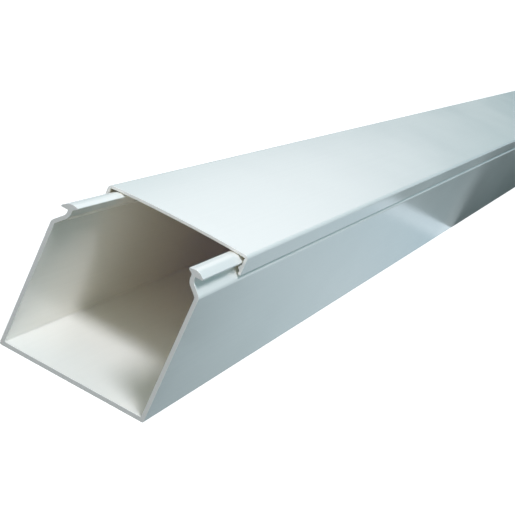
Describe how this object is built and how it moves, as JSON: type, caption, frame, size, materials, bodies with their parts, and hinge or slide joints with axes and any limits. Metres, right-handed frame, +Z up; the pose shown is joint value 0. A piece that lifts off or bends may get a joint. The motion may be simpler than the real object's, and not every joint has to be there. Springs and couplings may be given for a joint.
{
  "type": "clip-on cable trunking",
  "caption": "Square white plastic cord cover raceway: a U-shaped base channel with inturned clip rails and a flanged clip-on lid, slid back at the open end.",
  "frame": {"origin": "middle of the base channel's underside, halfway along the channel", "axes": "+X across the trunking, +Y along it from the open end to the far end, +Z up through the lid"},
  "size_m": [0.1, 2.074, 0.1],
  "materials": {
    "white_pvc": "semi-gloss, as extruded, white right through"
  },
  "bodies": {
    "channel": {"base_channel": "white_pvc"},
    "lid": {"clip_lid": "white_pvc"}
  },
  "joints": [
    {"name": "lid_slide", "type": "slide", "parent": "channel", "child": "lid", "axis": [0, 1, 0], "range_m": [-0.074, 0.926]}
  ]
}
